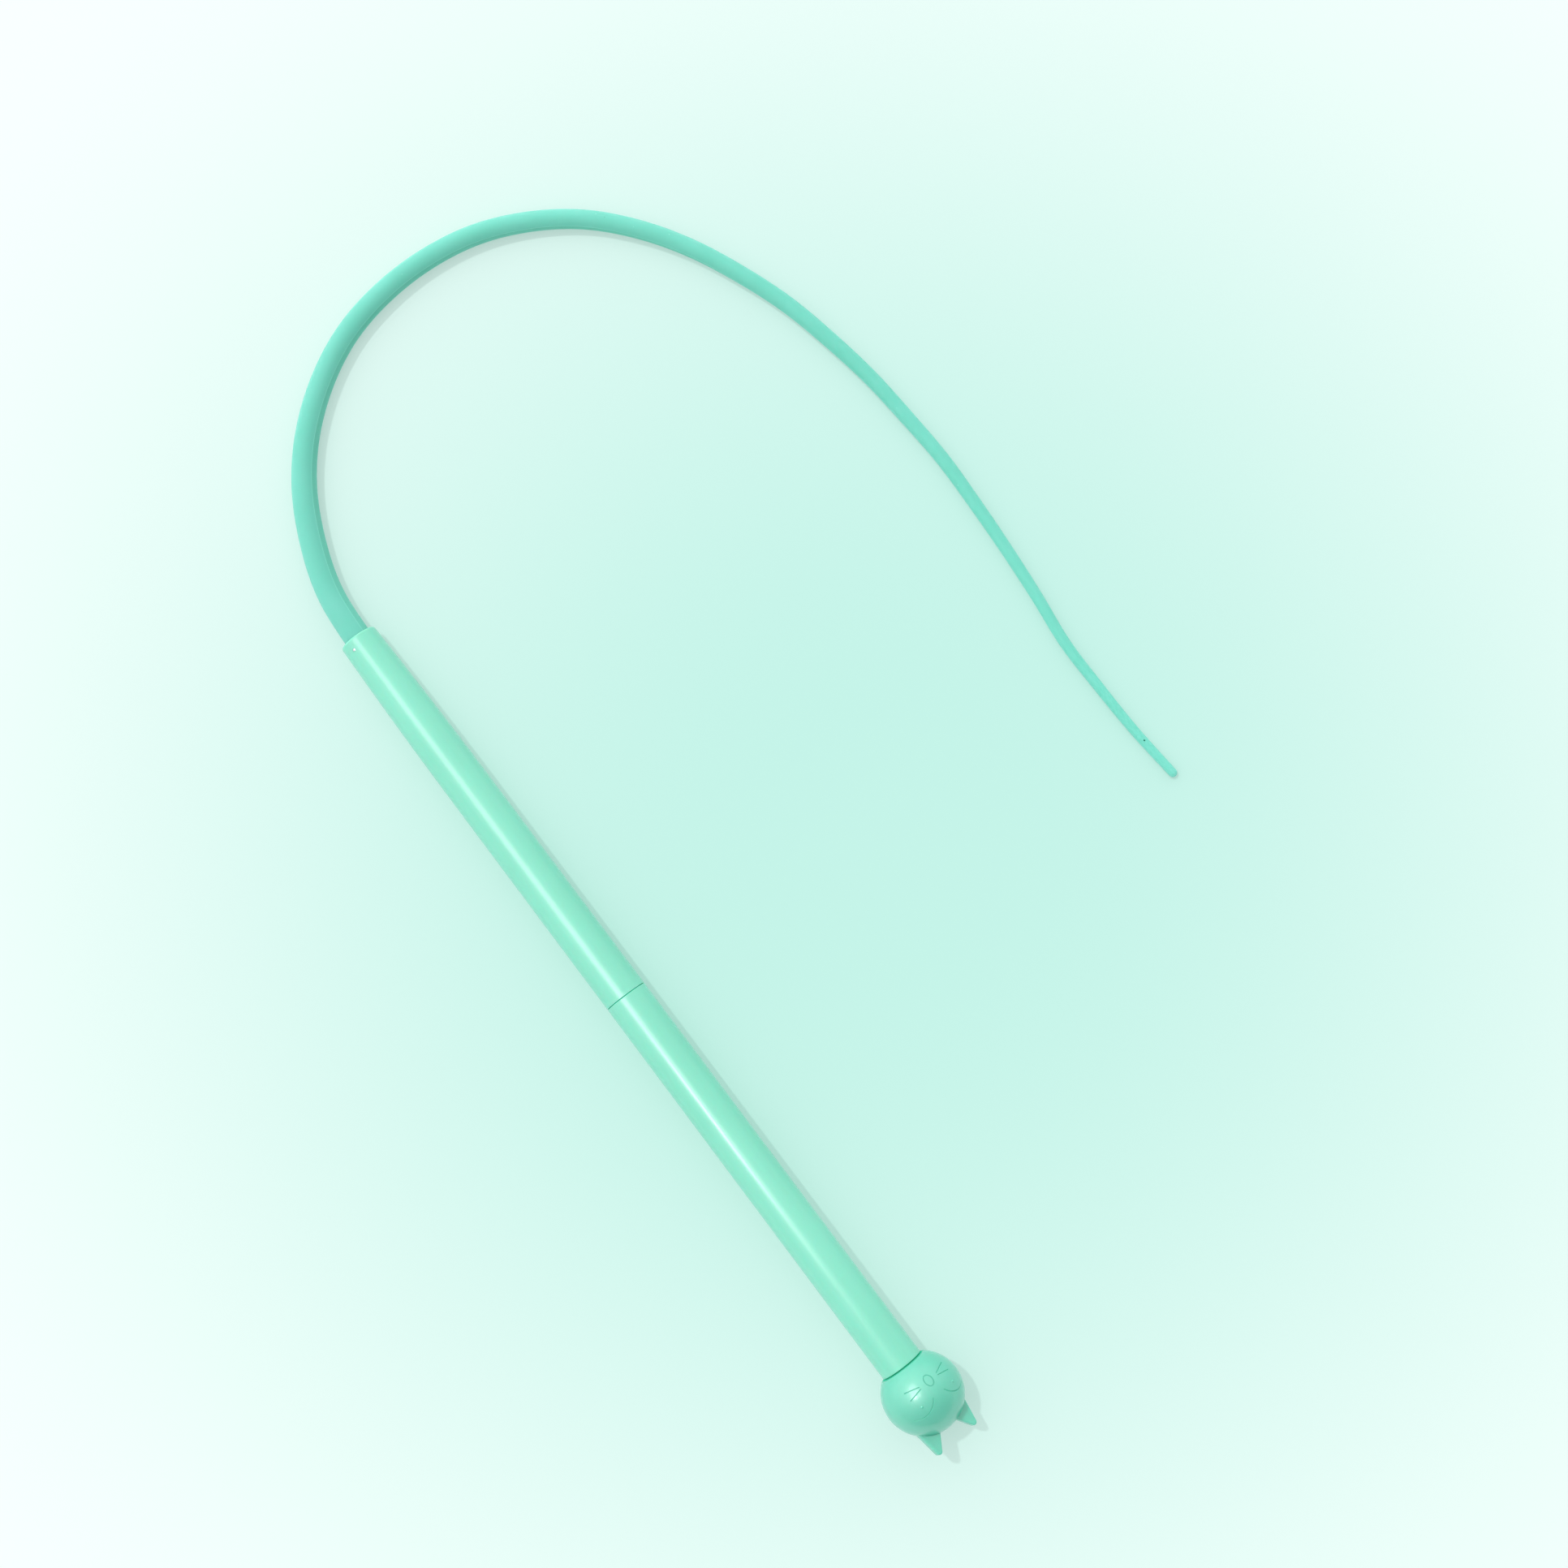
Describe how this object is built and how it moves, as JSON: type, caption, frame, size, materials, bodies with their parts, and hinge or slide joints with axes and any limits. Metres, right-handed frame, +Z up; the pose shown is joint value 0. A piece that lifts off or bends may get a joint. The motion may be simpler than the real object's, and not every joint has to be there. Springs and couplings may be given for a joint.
{
  "type": "cat teaser wand",
  "caption": "Cat teaser wand: straight two-section plastic handle with a cat-head end knob and a long soft tapering tail.",
  "frame": {"origin": "on the handle's axis, half way along the lower tube, where the hand holds it", "axes": "+Z up from the table the wand lies on; +X along the handle towards the tail, seen from above, so the handle runs 1.3 degrees downhill towards the mouth; the tail swings out to -Y and comes back towards -X; the head is at -X with its face turned up and 23 degrees towards -Y"},
  "size_m": [0.4096, 0.2016, 0.0268],
  "materials": {
    "tube_plastic": "glossy mint green moulded tube",
    "head_plastic": "glossy mint green, a shade deeper than the tubes",
    "tail_silicone": "matte teal green silicone",
    "inner_plastic": "satin deep green, which shows in the seams",
    "pin_steel": "bright drawn wire"
  },
  "bodies": {
    "lower": {"lower_tube": "tube_plastic", "joint_sleeve": "inner_plastic"},
    "front": {"upper_tube": "tube_plastic", "tail": "tail_silicone", "tail_pin": "pin_steel"},
    "head": {"head_front": "head_plastic", "head_back": "head_plastic", "neck_plug": "inner_plastic"}
  },
  "joints": [
    {"name": "front_pull", "type": "slide", "parent": "lower", "child": "front", "axis": [0.9997, 0, -0.0229], "range_m": [0, 0.025]},
    {"name": "head_pull", "type": "slide", "parent": "lower", "child": "head", "axis": [-0.9997, 0, 0.0229], "range_m": [0, 0.018]}
  ]
}
